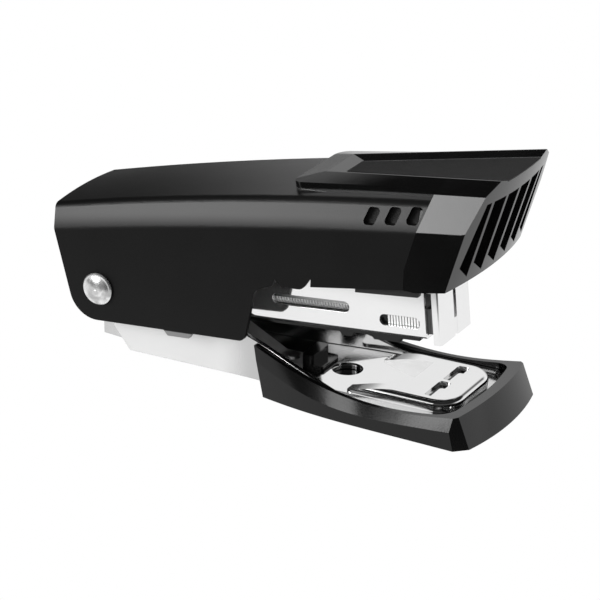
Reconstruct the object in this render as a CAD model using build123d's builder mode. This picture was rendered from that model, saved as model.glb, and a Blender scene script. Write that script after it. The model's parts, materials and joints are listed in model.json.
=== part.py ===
"""Half-strip desk stapler, built as an assembly of separate pieces.

Millimetres. X runs forward from the hinge to the nose, Y across, Z up from the table.
Cover and magazine are drawn in the frame of the tilted head: u forward and v up from
the pivot pin. The base is drawn level: b forward of the pin and z above the table.
"""

import os
from math import cos, radians, sin, sqrt, tan

from build123d import *

os.makedirs("parts", exist_ok=True)

# Hinge: every moving body turns about this pin
PIN_X = -42.86
PIN_Z = 18.9
PIN_RADIUS = 2.2
PIN_FIT = 0.05
PIN_HEAD_RADIUS = 3.85
PIN_RIM_THICK = 0.55
PIN_RIM_BEVEL = 0.25
PIN_DOME_RADIUS = 3.2
PIN_DOME_RISE = 0.6
PIN_HEAD_GAP = 0.25
SIDE_GAP = 0.1
SLEEVE_RADIUS = 3.4
REST_TILT = 5.0
MAGAZINE_PRESS = 7.4

# Steel cover: a folded shell that widens forward, with leaning shoulders
STEEL = 1.0
COVER_HALF = 16.4
COVER_FLARE = 0.029
SHOULDER_LEAN = 3.0
SHOULDER_BEND = 2.0
CROWN_BEND = 2.2
COVER_REAR = -16.0
COVER_MID = 40.0
COVER_FRONT = 106.0
SHOULDER_REAR = 12.7
SHOULDER_MID = 19.3
SHOULDER_FRONT = 24.1
CROWN_REAR = 17.85
CROWN_MID = 25.4
CROWN_FRONT = 29.7
CROWN_ARCH = 1.1
ARCH_ROUND = 0.75
TAIL_EDGE = -8.65
TAIL_RAKE = 0.171
TAIL_CORNER = 7.0
SKIRT_LOW = -8.05
SKIRT_FRONT = 38.7
SKIRT_RAKE = 0.308
SKIRT_CORNER = 2.0
SKIRT_THROAT = 3.0
EDGE_REAR = 4.6
EDGE_FRONT = 9.3
EDGE_ROUND = 0.3
NOTCH_U = 48.3
NOTCH_TOP = 8.05
TOOTH_RISE = 1.7
TOOTH_ROUND = 2.0
SCOOP_U = 57.6
SCOOP_TOP = 9.4
SCOOP_STEP = 2.6
STOP_TAB_U = 17.0
STOP_TAB_LENGTH = 7.8
STOP_TAB_DROP = 1.3
STOP_TAB_SLOPE = 1.0
VENT_COUNT = 3
VENT_FIRST = 73.4
VENT_PITCH = 5.25
VENT_RISE = 0.5
VENT_MID = 24.95
VENT_WIDTH = 3.05
VENT_HEIGHT = 3.6
VENT_CORNER = 0.8

# Moulded nose cap with its spigot, tray pad and slotted face
CAP_STEP = 1.95
CAP_LEAN = 3.4
CAP_BEND = 0.5
RIM_ROUND = 0.4
SEAM_LOW = 80.6
SEAM_KNEE = 14.1
SEAM_KNEE_U = 81.2
SEAM_RAKE = 0.41
CAP_LOW_REAR = 9.0
CAP_LOW_FRONT = 10.0
NOSE_LOW = 93.1
NOSE_RAKE = 0.412
NOSE_BULGE = 2.0
NOSE_WALL = 3.0
SPIGOT_FIT = 0.1
SPIGOT_WALL = 1.4
SPIGOT_REAR = 68.0
SPIGOT_LOW = 6.95
SPIGOT_LIFT = 0.6
SPIGOT_LEAN = 4.0
SPIGOT_END = 83.6
PAD_REAR = 50.6
PAD_REAR_HALF = 11.4
PAD_FRONT_HALF = 13.9
PAD_CORNER = 3.0
PAD_EDGE_REAR = 28.85
PAD_EDGE_SLOPE = 0.061
RIM_REAR = 56.7
RIM_REAR_HALF = 6.5
RIM_FRONT_HALF = 12.0
RIM_LEVEL = 30.2
RIM_SLOPE = 0.075
RIM_WIDTH = 0.3
TRAY_DEPTH = 0.85
TRAY_BANK = 3.2
TRAY_REAR_BANK = 4.3
SLOT_COUNT = 6
SLOT_PITCH = 5.9
SLOT_RIB = 1.0
SLOT_TOP = 28.6
SLOT_LOW = 11.2
SLOT_SLANT = 3.1
SLOT_SIDE_LOW = 16.6
SLOT_SIDE_TOP = 14.2

# Driver under the cap
DRIVER_U = 81.55
DRIVER_THICK = 0.65
DRIVER_HALF = 6.3
DRIVER_TIP = 2.2
DRIVER_TOP = 24.0
DRIVER_LEAN = 4.0
HOLDER_LENGTH = 7.0
HOLDER_HALF = 7.0
HOLDER_LOW = 17.0
RIVET_RADIUS = 1.2
RIVET_HEAD = 2.0
RIVET_HEAD_THICK = 0.6
DRIVER_RIVET_Y = 4.0
DRIVER_RIVET_V = 20.5

# Lift spring between cover and magazine
LEAF = 0.6
LIFT_HALF = 7.0
LIFT_REAR = 14.0
LIFT_SEAT = 12.0
LIFT_TIP = 54.0
LIFT_GAP = 0.3

# Magazine
MAGAZINE_HALF = 7.5
MAGAZINE_WALL = 0.8
MAGAZINE_FLOOR = -6.45
MAGAZINE_TOP = 5.2
MAGAZINE_FRONT_TOP = 7.4
MAGAZINE_RAISE = 66.0
MAGAZINE_REAR = -6.0
MAGAZINE_HEEL = 5.0
MAGAZINE_FRONT = 79.6
REAR_SLOT_START = 41.0
REAR_SLOT_END = 60.7
REAR_SLOT_LOW = -2.25
REAR_SLOT_HEIGHT = 2.5
FRONT_SLOT_START = 68.2
FRONT_SLOT_END = 78.2
FRONT_SLOT_MID = -2.9
FRONT_SLOT_HEIGHT = 2.6
KEEL_HALF = 6.8
KEEL_LOW = -7.3
KEEL_REAR = 6.0
KEEL_FRONT = 78.0
KEEL_HEEL = 4.0
KEEL_RAIL = 1.6
KEEL_GROOVE = 0.4
KEEL_TAB = 0.9
KEEL_TAB_SLOPE = 0.5
KEEL_TAB_REAR = 58.0
KEEL_TAB_SHORT = 2.6
KEEL_TAB_FRONT = 66.0
KEEL_TAB_LONG = 6.5
GUIDE_FACE = 83.3
GUIDE_PLATE = 0.8
GUIDE_LOW = -7.55
GUIDE_SLIT = 1.3
GUIDE_SLIT_TOP = 5.6
GUIDE_FLANGE = 1.9
GUIDE_BEND = 0.7
RETURN_LOW = 4.9
RETURN_REAR = 70.0
RETURN_GAP = 0.05

# Staple rail, strip, pusher and its spring
RAIL_HALF = 5.6
RAIL_WALL = 0.8
RAIL_TOP = -0.35
RAIL_REAR = 11.0
RAIL_FRONT = 80.4
RAIL_WEB = 1.0
RAIL_SLOT_HALF = 1.6
RAIL_WINDOW_HEIGHT = 2.4
RAIL_WINDOW_SPARE = 3.0
STRIP_REAR = 69.6
STRIP_FRONT = 81.0
STRIP_FIT = 0.15
STAPLE_WIRE = 0.6
STAPLE_COUNT = 16
STAPLE_GROOVE = 0.12
PUSHER_LENGTH = 8.0
PUSHER_GAP = 0.05
PUSHER_FIT = 0.2
PUSHER_TOP = 1.6
TONGUE_HALF = 1.3
ROD_RADIUS = 0.6
ROD_FIT = 0.08
ROD_LEVEL = -3.6
ANCHOR_REAR = 4.0
ANCHOR_LENGTH = 3.0
SPRING_WIRE = 0.42
SPRING_OUTER = 2.6
SPRING_TURNS = 38
WIRE_SIDES = 4
SPRING_END_GAP = 0.2

# Base frame
BASE_HALF = 12.0
BASE_SHEET = 1.2
BASE_BOTTOM = 2.7
FLARE_START = 34.0
FLARE_MID = 45.0
FLARE_OUT = 1.0
FLARE_MID_HALF = BASE_HALF + FLARE_OUT
FLARE_END = 76.0
BASE_CORNER = 86.0
BASE_FRONT = 91.3
BASE_FRONT_SIDE = 90.0
BASE_FRONT_HALF = BASE_HALF + FLARE_OUT
EAR_REAR = -5.6
EAR_RIM = 3.3
TAIL_FOOT = 6.0
WALL_MID = 36.8
WALL_MID_TOP = 13.2
WALL_LOW = 64.0
LIP_TOP = 4.7
TAIL_TIP = -5.7
TAIL_TIP_HALF = 6.0
TAIL_ROOT = 14.0
TAIL_ROOT_HALF = 8.6
TAIL_HEIGHT = 4.6

# Anvil, spring block and base spring
ANVIL_PLATE = 0.5
ANVIL_TOP = 6.9
ANVIL_REAR = 52.6
ANVIL_FIT = 0.3
ANVIL_CORNER = 1.5
ANVIL_PLATE_HALF = FLARE_MID_HALF - BASE_SHEET - ANVIL_FIT
HORN_REAR = 61.6
HORN_LENGTH = 11.4
HORN_TIP = 0.3
RECESS_HALF = 7.6
RECESS_FRONT = 72.0
RECESS_RAMP = 2.4
PAD_MARGIN = 0.2
PAD_HALF = ANVIL_PLATE_HALF - PAD_MARGIN
PAD_FRONT = 88.6
PAD_ROUND = 6.0
PAD_BLEND = 1.2
GROOVE_LENGTH = 8.4
GROOVE_WIDTH = 2.8
GROOVE_DEPTH = 0.9
GROOVE_SPLIT = 1.0
GROOVE_SLOPE = 20.0
HOLE_B = 56.3
HOLE_RADIUS = 3.6
BLOCK_REAR = 46.5
BLOCK_STEP = 49.4
BLOCK_FRONT = 52.0
BLOCK_HALF = 4.0
BLOCK_TOP = 7.6
BLOCK_STEP_TOP = 5.4
BASE_LEAF_HALF = 3.0
BASE_LEAF_TIP = 22.0
BASE_LEAF_GAP = 0.3
BASE_RIVET_B = 42.0

# Shoe and feet. Stations along it: b, how far foot, crease and rim stand out from the frame's
# straight walls, and the heights of crease and rim
SHOE_STATIONS = (
    # b, foot out, crease out, crease height, rim out, rim height
    (30.0, -0.6, -0.4, 11.0, -0.4, 15.0),
    (39.5, 1.8, 1.8, 8.6, 1.5, 11.8),
    (55.4, 5.0, 4.9, 3.9, 4.0, 7.4),
    (73.6, 6.4, 6.2, 2.8, 5.1, 5.3),
    (90.0, 7.1, 6.8, 4.0, 5.5, 6.8),
    (102.0, 7.4, 7.0, 5.4, 5.7, 8.4),
)
SHOE_FIT = 0.1
SHOE_REAR = 42.3
SHOE_REAR_RAKE = 0.24
SHOE_FRONT = 97.2
SHOE_RAKE = 0.38
SHOE_BULGE_RADIUS = 75.0
SHOE_CORNER_HALF = 16.6
SHOE_CORNER_CUT = 3.6
PAD_RECESS = 0.8
FOOT_REAR = 9.0
FOOT_FRONT = 24.0
FOOT_HALF = 5.4
SHOE_PAD_REAR = 48.0
SHOE_PAD_FRONT = 88.0
SHOE_PAD_HALF = 12.0

# Frames that the pieces are drawn in
TILT = radians(REST_TILT)
FORWARD = Vector(cos(TILT), 0, sin(TILT))
UPWARD = Vector(-sin(TILT), 0, cos(TILT))
PIN = Vector(PIN_X, 0, PIN_Z)
HEAD = Plane(origin=PIN, x_dir=FORWARD, z_dir=(0, -1, 0))
SIDE = Plane(origin=(PIN_X, 0, 0), x_dir=(1, 0, 0), z_dir=(0, -1, 0))
REACH = 60.0


def across(u):
    """Upright section of the head at u: sketch x is Y, sketch y is v."""
    return Plane(origin=PIN + FORWARD * u, x_dir=(0, 1, 0), z_dir=FORWARD)


def level(v):
    """Plan of the head at v: sketch x is u, sketch y is Y."""
    return Plane(origin=PIN + UPWARD * v, x_dir=FORWARD, z_dir=UPWARD)


def plan(z):
    """Plan of the base at z: sketch x is b, sketch y is Y."""
    return Plane(origin=(PIN_X, 0, z))


def through_three(u, low, mid, front):
    """Height at u on the parabola through the cover's three stations."""
    a, b, c = COVER_REAR, COVER_MID, COVER_FRONT
    return (
        low * (u - b) * (u - c) / ((a - b) * (a - c))
        + mid * (u - a) * (u - c) / ((b - a) * (b - c))
        + front * (u - a) * (u - b) / ((c - a) * (c - b))
    )


def shoulder_at(u):
    return through_three(u, SHOULDER_REAR, SHOULDER_MID, SHOULDER_FRONT)


def crown_at(u):
    return through_three(u, CROWN_REAR, CROWN_MID, CROWN_FRONT)


def half_at(u):
    return COVER_HALF + COVER_FLARE * u


def cover_outline(u, inset):
    """Section of the cover, drawn in by the inset."""
    half = half_at(u) - inset
    lean = half - SHOULDER_LEAN
    low = SKIRT_LOW - 4 - inset
    crown = crown_at(u) - inset
    shoulder = shoulder_at(u) - inset / 2
    arch_bend = ARCH_ROUND * lean**2 / CROWN_ARCH
    bends = (SHOULDER_BEND, CROWN_BEND, arch_bend, CROWN_BEND, SHOULDER_BEND)
    with BuildSketch(across(u)) as outline:
        with BuildLine():
            FilletPolyline(
                (-half, low),
                (-half, shoulder),
                (-lean, crown),
                (0, crown + CROWN_ARCH),
                (lean, crown),
                (half, shoulder),
                (half, low),
                radius=bends,
            )
            Line((half, low), (-half, low))
        make_face()
    return outline.sketch


def cover_sections(inset):
    return [cover_outline(u, inset) for u in (COVER_REAR, COVER_MID, COVER_FRONT)]


def pin_bore(radius, length):
    """Cutter along the pivot axis, made apart from the open builder."""
    return Plane(origin=PIN, z_dir=(0, 1, 0)) * Cylinder(radius, length, mode=Mode.PRIVATE)


def save(piece, name):
    piece.part.label = name
    export_step(piece.part, f"parts/{name}.step")


def seam_at(v):
    """Place along u of the seam between steel and cap at height v."""
    return SEAM_KNEE_U + max(v - SEAM_KNEE, 0) * SEAM_RAKE


HIGH = CROWN_FRONT + 8

# Top cover: its lower edge has a stop tab, then a throat, a notch, a tooth and a scoop
throat_u = SKIRT_FRONT + SKIRT_RAKE * (EDGE_REAR - SKIRT_LOW)
throat_run = NOTCH_U - throat_u
tooth_run = SCOOP_U - NOTCH_U
tab_front = STOP_TAB_U + STOP_TAB_LENGTH
with BuildSketch(HEAD) as steel_profile:
    with BuildLine():
        FilletPolyline(
            (TAIL_EDGE - TAIL_RAKE * HIGH, HIGH),
            (TAIL_EDGE - TAIL_RAKE * SKIRT_LOW, SKIRT_LOW),
            (STOP_TAB_U, SKIRT_LOW),
            (STOP_TAB_U + STOP_TAB_SLOPE, SKIRT_LOW - STOP_TAB_DROP),
            (tab_front - STOP_TAB_SLOPE, SKIRT_LOW - STOP_TAB_DROP),
            (tab_front, SKIRT_LOW),
            (SKIRT_FRONT, SKIRT_LOW),
            (throat_u, EDGE_REAR),
            (NOTCH_U - 0.18 * throat_run, EDGE_REAR + TOOTH_RISE),
            (NOTCH_U, NOTCH_TOP),
            (NOTCH_U + 0.15 * tooth_run, EDGE_REAR + TOOTH_RISE),
            (SCOOP_U - 0.27 * tooth_run, EDGE_REAR + TOOTH_RISE),
            (SCOOP_U, SCOOP_TOP),
            (SCOOP_U - EDGE_ROUND, EDGE_REAR + SCOOP_STEP),
            (SEAM_LOW, EDGE_FRONT),
            (SEAM_KNEE_U, SEAM_KNEE),
            (seam_at(HIGH), HIGH),
            radius=(
                TAIL_CORNER,
                EDGE_ROUND,
                EDGE_ROUND,
                EDGE_ROUND,
                EDGE_ROUND,
                SKIRT_CORNER,
                min(SKIRT_THROAT, throat_run / 2),
                0,
                EDGE_ROUND / 2,
                EDGE_ROUND,
                min(TOOTH_ROUND, tooth_run / 4),
                EDGE_ROUND / 2,
                EDGE_ROUND / 2,
                0,
                SHOULDER_BEND,
            ),
        )
        Line((seam_at(HIGH), HIGH), (TAIL_EDGE - TAIL_RAKE * HIGH, HIGH))
    make_face()

with BuildSketch(HEAD) as vents:
    for index in range(VENT_COUNT):
        with Locations((VENT_FIRST + index * VENT_PITCH, VENT_MID + index * VENT_RISE)):
            slant = VENT_HEIGHT * SEAM_RAKE / 2
            Polygon(
                (-VENT_WIDTH / 2 - slant, -VENT_HEIGHT / 2),
                (VENT_WIDTH / 2 - slant, -VENT_HEIGHT / 2),
                (VENT_WIDTH / 2 + slant, VENT_HEIGHT / 2),
                (-VENT_WIDTH / 2 + slant, VENT_HEIGHT / 2),
                align=None,
            )
    fillet(vents.vertices(), VENT_CORNER)

with BuildPart() as top_cover:
    loft(sections=cover_sections(0))
    loft(sections=cover_sections(STEEL), mode=Mode.SUBTRACT)
    extrude(to_extrude=steel_profile.sketch, amount=REACH, both=True, mode=Mode.INTERSECT)
    extrude(to_extrude=vents.sketch, amount=REACH, both=True, mode=Mode.SUBTRACT)
    add(pin_bore(PIN_RADIUS + PIN_FIT, 2 * REACH), mode=Mode.SUBTRACT)
save(top_cover, "top_cover")

# Front cap: nose, tray pad, spigot inside the steel, hollow, and six slots in the face
RIM = Plane(
    origin=PIN + FORWARD * RIM_REAR + UPWARD * RIM_LEVEL,
    x_dir=FORWARD + UPWARD * RIM_SLOPE,
    z_dir=UPWARD - FORWARD * RIM_SLOPE,
)
PAD_PLANE = Plane(
    origin=PIN + FORWARD * PAD_REAR + UPWARD * PAD_EDGE_REAR,
    x_dir=FORWARD + UPWARD * PAD_EDGE_SLOPE,
    z_dir=UPWARD - FORWARD * PAD_EDGE_SLOPE,
)
RIM_LENGTH = COVER_FRONT - RIM_REAR
PAD_LENGTH = COVER_FRONT - PAD_REAR


def rim_half(u):
    return RIM_REAR_HALF + (RIM_FRONT_HALF - RIM_REAR_HALF) * (u - RIM_REAR) / RIM_LENGTH


def rim_level(u):
    return RIM_LEVEL + RIM_SLOPE * (u - RIM_REAR)


def nose_outline(u):
    """Section of the nose: the cover's flanks, then facets up to the tray rim."""
    half = half_at(u)
    low = SKIRT_LOW
    with BuildSketch(across(u)) as outline:
        with BuildLine():
            FilletPolyline(
                (-half, low),
                (-half, shoulder_at(u)),
                (CAP_LEAN - half, crown_at(u) + CAP_STEP),
                (-rim_half(u), rim_level(u)),
                (rim_half(u), rim_level(u)),
                (half - CAP_LEAN, crown_at(u) + CAP_STEP),
                (half, shoulder_at(u)),
                (half, low),
                radius=(CAP_BEND, CAP_BEND, RIM_ROUND, RIM_ROUND, CAP_BEND, CAP_BEND),
            )
            Line((half, low), (-half, low))
        make_face()
    return outline.sketch


def nose_at(v):
    return NOSE_LOW + (v - CAP_LOW_FRONT) * NOSE_RAKE


with BuildSketch(HEAD) as nose_profile:
    with BuildLine():
        Polyline(
            (SEAM_LOW, EDGE_FRONT),
            (SPIGOT_END, CAP_LOW_REAR),
            (NOSE_LOW + 6, CAP_LOW_FRONT + 0.8),
            (nose_at(HIGH) + 6, HIGH),
            (seam_at(HIGH), HIGH),
            (SEAM_KNEE_U, SEAM_KNEE),
            close=True,
        )
    make_face()

with BuildSketch(HEAD) as spigot_profile:
    with BuildLine():
        Polyline(
            (SPIGOT_REAR, SPIGOT_LOW),
            (SPIGOT_END, SPIGOT_LOW + SPIGOT_LIFT),
            (SPIGOT_END + SPIGOT_WALL / 2, CAP_LOW_REAR + SPIGOT_WALL / 2),
            (seam_at(HIGH) + SPIGOT_WALL, HIGH),
            (SPIGOT_REAR + SPIGOT_LEAN, HIGH),
            close=True,
        )
    make_face()

# The face is one bulged surface swept along its rake
rake = (FORWARD * NOSE_RAKE + UPWARD).normalized()
FACE = Plane(
    origin=PIN + FORWARD * NOSE_LOW + UPWARD * CAP_LOW_FRONT,
    x_dir=(0, 1, 0),
    z_dir=rake,
)
with BuildSketch(FACE) as face_outline:
    edge = half_at(NOSE_LOW)
    with BuildLine():
        ThreePointArc((-edge, NOSE_BULGE), (0, 0), (edge, NOSE_BULGE))
        Polyline((edge, NOSE_BULGE), (edge + 4, REACH), (-edge - 4, REACH), (-edge, NOSE_BULGE))
    make_face()

with BuildSketch(PAD_PLANE) as pad_foot:
    with BuildLine():
        FilletPolyline(
            (PAD_LENGTH, -PAD_FRONT_HALF),
            (0, -PAD_REAR_HALF),
            (0, PAD_REAR_HALF),
            (PAD_LENGTH, PAD_FRONT_HALF),
            radius=(PAD_CORNER, PAD_CORNER),
        )
        Line((PAD_LENGTH, PAD_FRONT_HALF), (PAD_LENGTH, -PAD_FRONT_HALF))
    make_face()

with BuildSketch(RIM) as pad_rim:
    with BuildLine():
        FilletPolyline(
            (RIM_LENGTH, -RIM_FRONT_HALF),
            (0, -RIM_REAR_HALF),
            (0, RIM_REAR_HALF),
            (RIM_LENGTH, RIM_FRONT_HALF),
            radius=(RIM_ROUND, RIM_ROUND),
        )
        Line((RIM_LENGTH, RIM_FRONT_HALF), (RIM_LENGTH, -RIM_FRONT_HALF))
    make_face()

with BuildSketch(RIM) as tray_mouth:
    Polygon(
        (RIM_WIDTH, -RIM_REAR_HALF + RIM_WIDTH),
        (RIM_LENGTH, -RIM_FRONT_HALF + RIM_WIDTH),
        (RIM_LENGTH, RIM_FRONT_HALF - RIM_WIDTH),
        (RIM_WIDTH, RIM_REAR_HALF - RIM_WIDTH),
        align=None,
    )

with BuildSketch(RIM.offset(-TRAY_DEPTH)) as tray_floor:
    Polygon(
        (TRAY_REAR_BANK, -rim_half(RIM_REAR + TRAY_REAR_BANK) + TRAY_BANK),
        (RIM_LENGTH, -RIM_FRONT_HALF + TRAY_BANK),
        (RIM_LENGTH, RIM_FRONT_HALF - TRAY_BANK),
        (TRAY_REAR_BANK, rim_half(RIM_REAR + TRAY_REAR_BANK) - TRAY_BANK),
        align=None,
    )

with BuildPart() as steel_block:
    loft(sections=cover_sections(0))

with BuildPart() as tray_pad:
    extrude(to_extrude=pad_foot.sketch, amount=-8)
    loft(sections=[pad_foot.sketch, pad_rim.sketch], ruled=True)
    add(steel_block.part, mode=Mode.SUBTRACT)

with BuildPart() as spigot:
    loft(sections=cover_sections(STEEL + SPIGOT_FIT))
    loft(sections=cover_sections(STEEL + SPIGOT_FIT + SPIGOT_WALL), mode=Mode.SUBTRACT)
    extrude(to_extrude=spigot_profile.sketch, amount=REACH, both=True, mode=Mode.INTERSECT)

# Hollow of the nose: open below, so that the magazine's front can rise into it
with BuildSketch(HEAD) as nose_hollow:
    with BuildLine():
        back = NOSE_BULGE + NOSE_WALL
        Polyline(
            (SEAM_LOW - 4, SKIRT_LOW),
            (nose_at(SKIRT_LOW) - back, SKIRT_LOW),
            (nose_at(SLOT_TOP) - back, SLOT_TOP),
            (SEAM_LOW - 4, SLOT_TOP - 2),
            close=True,
        )
    make_face()

# Slots stand in the plane of the face: sketch x is Y, sketch y runs up the rake
STEEP = sqrt(1 + NOSE_RAKE**2)
SLOT_PLANE = Plane(origin=FACE.origin, x_dir=(0, 1, 0), z_dir=FORWARD - UPWARD * NOSE_RAKE)
slot_top = (SLOT_TOP - CAP_LOW_FRONT) * STEEP
slot_low = (SLOT_LOW - CAP_LOW_FRONT) * STEEP
slot_half = (SLOT_PITCH - SLOT_RIB) / 2
with BuildSketch(SLOT_PLANE) as slot_row:
    for index in range(SLOT_COUNT):
        middle = (index - (SLOT_COUNT - 1) / 2) * SLOT_PITCH
        first = index == 0
        last = index == SLOT_COUNT - 1
        left = middle - slot_half
        right = middle + slot_half
        Polygon(
            (-SLOT_SIDE_LOW if first else left, slot_low + SLOT_SLANT * STEEP),
            (SLOT_SIDE_LOW if last else right, slot_low),
            (SLOT_SIDE_TOP if last else right, slot_top),
            (-SLOT_SIDE_TOP if first else left, slot_top),
            align=None,
        )

with BuildPart() as front_cap:
    loft(sections=[nose_outline(SEAM_LOW - 2), nose_outline(COVER_FRONT + 4)], ruled=True)
    extrude(to_extrude=nose_profile.sketch, amount=REACH, both=True, mode=Mode.INTERSECT)
    extrude(
        to_extrude=nose_hollow.sketch,
        amount=half_at(SEAM_LOW) - STEEL - SPIGOT_FIT - SPIGOT_WALL,
        both=True,
        mode=Mode.SUBTRACT,
    )
    add(tray_pad.part)
    add(spigot.part)
    extrude(to_extrude=face_outline.sketch, amount=REACH, both=True, mode=Mode.INTERSECT)
    loft(sections=[tray_floor.sketch, tray_mouth.sketch], ruled=True, mode=Mode.SUBTRACT)
    extrude(to_extrude=slot_row.sketch, amount=NOSE_BULGE + NOSE_WALL + 1, both=True, mode=Mode.SUBTRACT)
save(front_cap, "front_cap")

# Driver blade, leaning back so that it stays in its slot as the cover comes down
driver_slope = tan(radians(DRIVER_LEAN))


def blade_back(v):
    return DRIVER_U - (v - DRIVER_TIP) * driver_slope


with BuildSketch(HEAD) as blade_profile:
    Polygon(
        (blade_back(DRIVER_TIP), DRIVER_TIP),
        (blade_back(DRIVER_TIP) + DRIVER_THICK, DRIVER_TIP),
        (blade_back(DRIVER_TOP) + DRIVER_THICK, DRIVER_TOP),
        (blade_back(DRIVER_TOP), DRIVER_TOP),
        align=None,
    )

# Rivets run square to the blade, through it and into the holder
RIVET_PLANE = Plane(
    origin=PIN + FORWARD * (blade_back(DRIVER_RIVET_V) + DRIVER_THICK) + UPWARD * DRIVER_RIVET_V,
    x_dir=(0, 1, 0),
    z_dir=FORWARD + UPWARD * driver_slope,
)
RIVET_DEPTH = HOLDER_LENGTH / 2
RIVET_SPOTS = ((-DRIVER_RIVET_Y, 0), (DRIVER_RIVET_Y, 0))

with BuildPart() as driver_blade:
    extrude(to_extrude=blade_profile.sketch, amount=DRIVER_HALF, both=True)
    with BuildSketch(RIVET_PLANE):
        with Locations(*RIVET_SPOTS):
            Circle(RIVET_RADIUS)
    extrude(amount=RIVET_DEPTH, both=True, mode=Mode.SUBTRACT)
save(driver_blade, "driver_blade")

with BuildSketch(HEAD) as holder_profile:
    Polygon(
        (blade_back(HOLDER_LOW) - HOLDER_LENGTH, HOLDER_LOW + 2),
        (blade_back(HOLDER_LOW) - HOLDER_LENGTH + 2, HOLDER_LOW),
        (blade_back(HOLDER_LOW), HOLDER_LOW),
        (blade_back(HIGH), HIGH),
        (blade_back(HOLDER_LOW) - HOLDER_LENGTH, HIGH),
        align=None,
    )

# The holder fills the spigot's ceiling, so its top is the spigot's inner surface
with BuildPart() as spigot_bore:
    loft(sections=cover_sections(STEEL + SPIGOT_FIT + SPIGOT_WALL))

with BuildPart() as driver_holder:
    extrude(to_extrude=holder_profile.sketch, amount=HOLDER_HALF, both=True)
    add(spigot_bore.part, mode=Mode.INTERSECT)
    add(front_cap.part, mode=Mode.SUBTRACT)
    with BuildSketch(RIVET_PLANE):
        with Locations(*RIVET_SPOTS):
            Circle(RIVET_RADIUS)
    extrude(amount=-RIVET_DEPTH, mode=Mode.SUBTRACT)
save(driver_holder, "driver_holder")

for name, spot in (("driver_rivet_right", RIVET_SPOTS[0]), ("driver_rivet_left", RIVET_SPOTS[1])):
    with BuildPart() as rivet:
        with BuildSketch(RIVET_PLANE):
            with Locations(spot):
                Circle(RIVET_RADIUS)
        extrude(amount=-RIVET_DEPTH)
        with BuildSketch(RIVET_PLANE):
            with Locations(spot):
                Circle(RIVET_HEAD)
        extrude(amount=RIVET_HEAD_THICK, taper=20)
    save(rivet, name)

# Lift spring: a leaf under the cover's ceiling that bears on the magazine's side walls
lift_seat_end = LIFT_REAR + LIFT_SEAT
lift_low = MAGAZINE_TOP + LIFT_GAP


def leaf_ceiling(u):
    """Inside of the arched crown above the leaf's edge."""
    return crown_at(u) + CROWN_ARCH * (1 - LIFT_HALF / (half_at(u) - SHOULDER_LEAN)) - STEEL


with BuildSketch(HEAD) as lift_profile:
    with BuildLine():
        FilletPolyline(
            (LIFT_REAR, leaf_ceiling(LIFT_REAR) - LEAF),
            (lift_seat_end, leaf_ceiling(lift_seat_end) - LEAF),
            (LIFT_TIP - 6, lift_low),
            (LIFT_TIP, lift_low + 1.5),
            (LIFT_TIP - 0.2, lift_low + 1.5 + LEAF),
            (LIFT_TIP - 6, lift_low + LEAF * 1.05),
            (lift_seat_end + LEAF / 2, leaf_ceiling(lift_seat_end)),
            (lift_seat_end - 2, CROWN_FRONT),
            (LIFT_REAR, CROWN_FRONT),
            radius=(2.0, 3.0, 0.0, 0.0, 3.0 - LEAF, 0.0, 0.0),
        )
        Line((LIFT_REAR, CROWN_FRONT), (LIFT_REAR, leaf_ceiling(LIFT_REAR) - LEAF))
    make_face()

with BuildPart() as steel_bore:
    loft(sections=cover_sections(STEEL))

with BuildPart() as lift_spring:
    extrude(to_extrude=lift_profile.sketch, amount=LIFT_HALF, both=True)
    add(steel_bore.part, mode=Mode.INTERSECT)
save(lift_spring, "lift_spring")

# Magazine channel
floor_top = MAGAZINE_FLOOR + MAGAZINE_WALL
inner_half = MAGAZINE_HALF - MAGAZINE_WALL
MARGIN = 2.0
with BuildSketch(HEAD) as magazine_profile:
    with BuildLine():
        FilletPolyline(
            (MAGAZINE_REAR + MAGAZINE_HEEL + MARGIN / 2, MAGAZINE_FLOOR - MARGIN),
            (MAGAZINE_FRONT, MAGAZINE_FLOOR - MARGIN),
            (MAGAZINE_FRONT, MAGAZINE_FRONT_TOP),
            (MAGAZINE_RAISE, MAGAZINE_FRONT_TOP),
            (MAGAZINE_RAISE - 4, MAGAZINE_TOP),
            (MAGAZINE_REAR, MAGAZINE_TOP),
            (MAGAZINE_REAR, MAGAZINE_FLOOR + MAGAZINE_HEEL),
            radius=(0, 0, 0.8, 2.0, 2.0, 4.0, 3.0),
            close=True,
        )
    make_face()

with BuildSketch(across(MAGAZINE_REAR - MARGIN)) as magazine_section:
    with BuildLine():
        rim = MAGAZINE_FRONT_TOP + MARGIN
        FilletPolyline(
            (-MAGAZINE_HALF, rim),
            (-MAGAZINE_HALF, MAGAZINE_FLOOR),
            (MAGAZINE_HALF, MAGAZINE_FLOOR),
            (MAGAZINE_HALF, rim),
            (inner_half, rim),
            (inner_half, floor_top),
            (-inner_half, floor_top),
            (-inner_half, rim),
            radius=(0, MAGAZINE_WALL, MAGAZINE_WALL, 0, 0, 0, 0, 0),
            close=True,
        )
    make_face()


def wall_slot(start, end, middle, height):
    """Round-ended slot in the magazine's side walls."""
    with BuildSketch(HEAD) as slot:
        with Locations(((start + end) / 2, middle)):
            SlotOverall(end - start, height)
    return slot.sketch


rear_slot = wall_slot(
    REAR_SLOT_START, REAR_SLOT_END, REAR_SLOT_LOW + REAR_SLOT_HEIGHT / 2, REAR_SLOT_HEIGHT
)
front_slot = wall_slot(FRONT_SLOT_START, FRONT_SLOT_END, FRONT_SLOT_MID, FRONT_SLOT_HEIGHT)

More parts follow.
